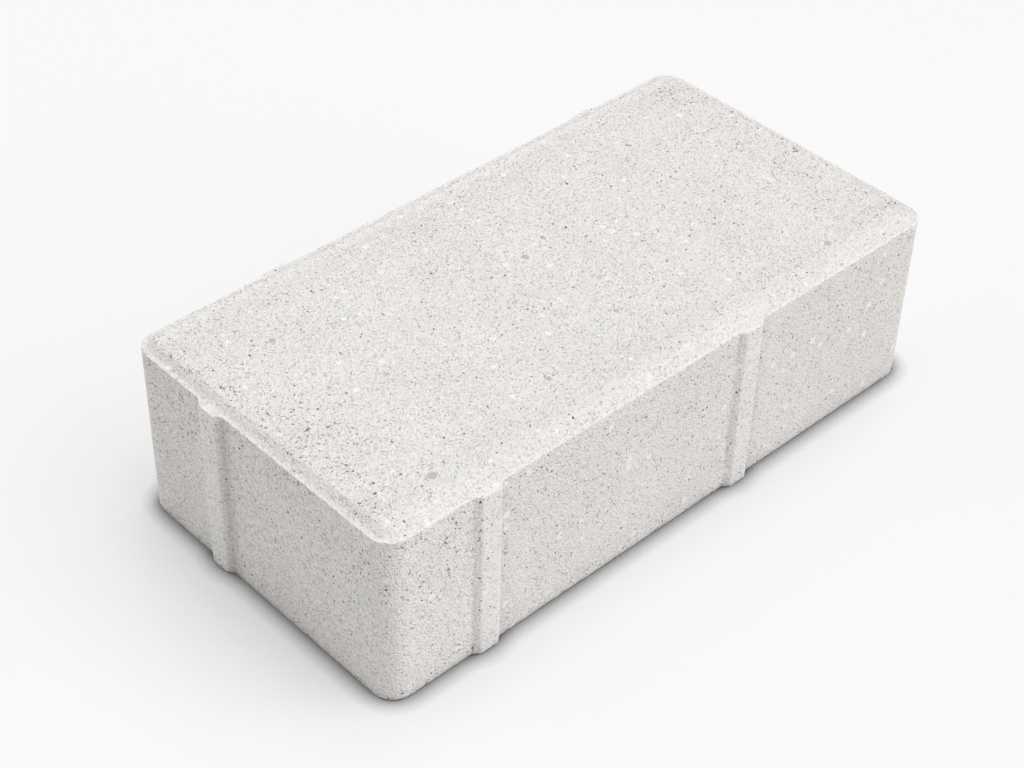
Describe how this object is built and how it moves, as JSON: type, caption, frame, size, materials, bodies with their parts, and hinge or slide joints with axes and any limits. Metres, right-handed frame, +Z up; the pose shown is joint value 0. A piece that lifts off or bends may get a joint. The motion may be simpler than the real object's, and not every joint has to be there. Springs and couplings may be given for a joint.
{
  "type": "concrete paving stone",
  "caption": "Rectangular pressed concrete paving stone with rounded corners, a chamfered wearing face on a narrow lip and upright spacer nibs, laid flat to pave paths and yards.",
  "frame": {"origin": "middle of the flat bed face that lies on the ground", "axes": "+X along the length, +Y across the width, +Z up through the wearing face"},
  "size_m": [0.2117, 0.1095, 0.06],
  "materials": {
    "pressed_concrete": "matt, fine sandy grain with small pits and specks"
  },
  "bodies": {
    "root": {"paving_stone": "pressed_concrete"}
  },
  "joints": []
}
